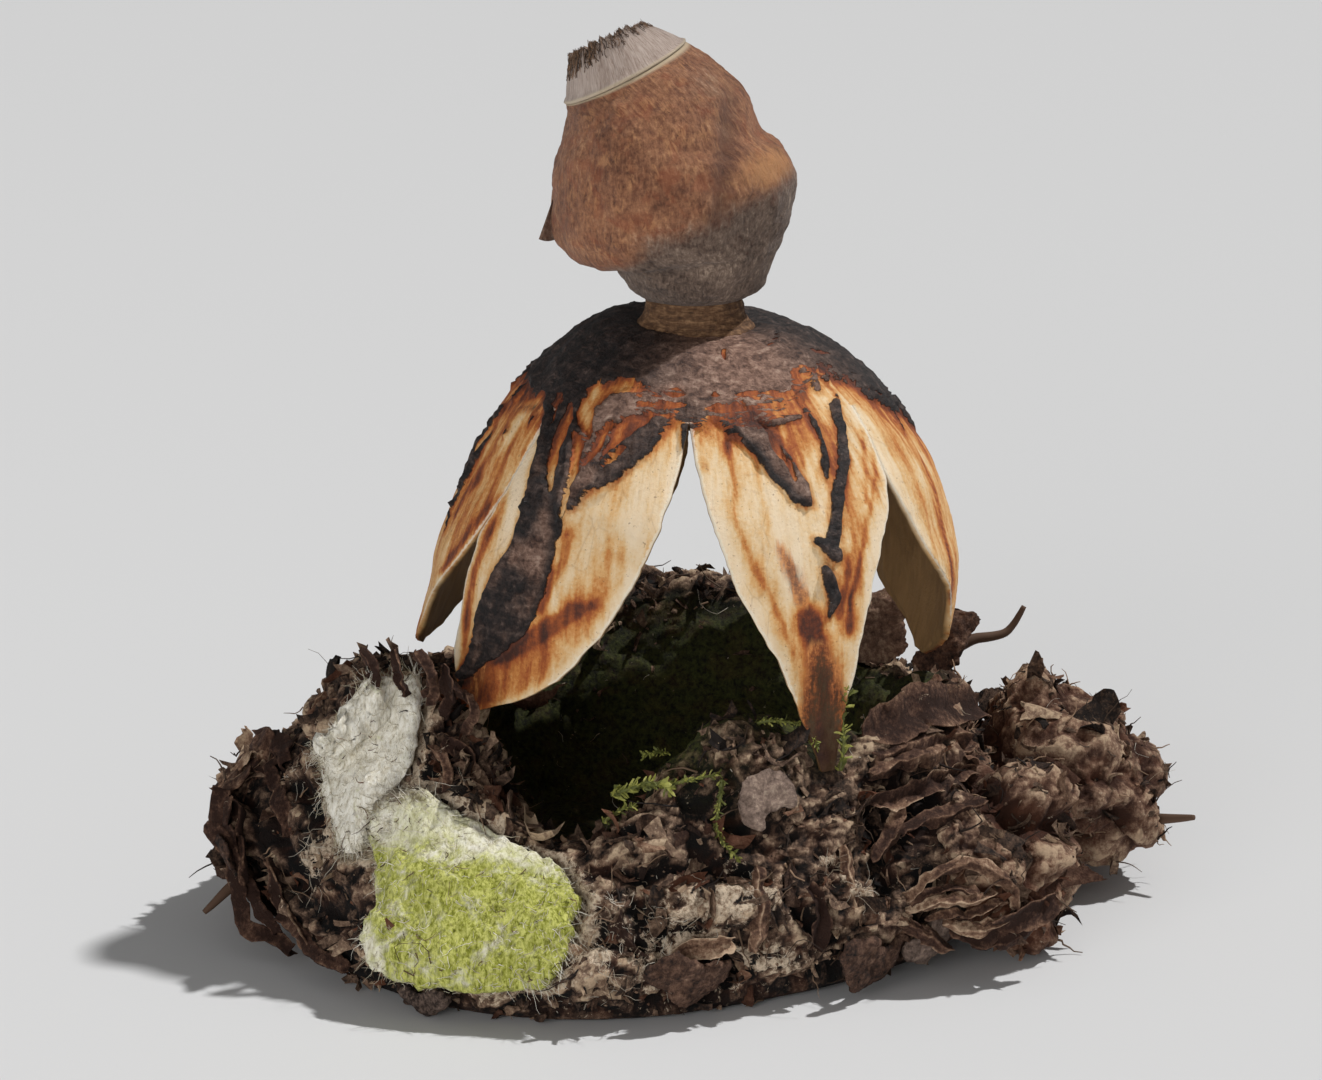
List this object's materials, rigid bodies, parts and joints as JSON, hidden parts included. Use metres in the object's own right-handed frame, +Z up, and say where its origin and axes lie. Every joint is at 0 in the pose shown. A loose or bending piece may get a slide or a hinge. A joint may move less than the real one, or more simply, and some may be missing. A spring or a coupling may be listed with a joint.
{
  "type": "arched earthstar fungus on its litter basket",
  "caption": "Arched earthstar: a stalked spore sac with a conical mouth on a star-shaped skin whose rays stand on a basket of forest litter.",
  "frame": {"origin": "middle of the underside of the whole object, on the surface it stands on", "axes": "+X to the right as seen from the front, along the longest side; +Y away from the viewer, along the shortest side; +Z up"},
  "size_m": [0.0656, 0.0492, 0.0585],
  "materials": {
    "spore_sac": "matt, suede-like reddish brown skin with fine pits, greyer and faintly striped near the neck",
    "mouth_cone": "silky pale pinkish grey fibres that run up to a ragged dark fringe",
    "stalk": "matt ochre brown with shallow ring wrinkles",
    "outer_skin": "leathery cream to tan with rust streaks, under a cracked dark purplish brown fleshy layer",
    "litter": "matt dark brown crumbs, flakes and fibres of bark and leaf",
    "bark": "matt brown bark with paler torn fibres",
    "leaf": "dry reddish brown leaf, matt and lightly veined",
    "felt": "matted pale threads, whitish above and tinted yellow green below",
    "moss": "green shoots with a soft satin look"
  },
  "bodies": {
    "root": {"spore_sac": "spore_sac", "mouth_cone": "mouth_cone", "stalk": "stalk", "star": "outer_skin", "twig_curled": "bark", "moss_shoot": "moss", "moss_strand": "moss", "root_right": "bark", "root_left": "bark", "bark_chip_front": "bark", "bark_chip_foot": "bark", "bark_chip_right": "bark", "bark_chip_rear": "bark", "leaf_scrap_left": "leaf", "leaf_scrap_front": "leaf", "leaf_scrap_low_right": "leaf", "leaf_scrap_rear_left": "leaf", "leaf_scrap_gap": "leaf", "leaf_scrap_rear_right": "leaf", "felt_upper": "felt", "felt_lower": "felt", "clod_far_right": "litter", "clod_right": "litter", "clod_left": "litter", "clod_left_crest": "litter", "clod_front": "litter", "clod_rear": "litter", "litter_basket": "litter"}
  },
  "joints": []
}
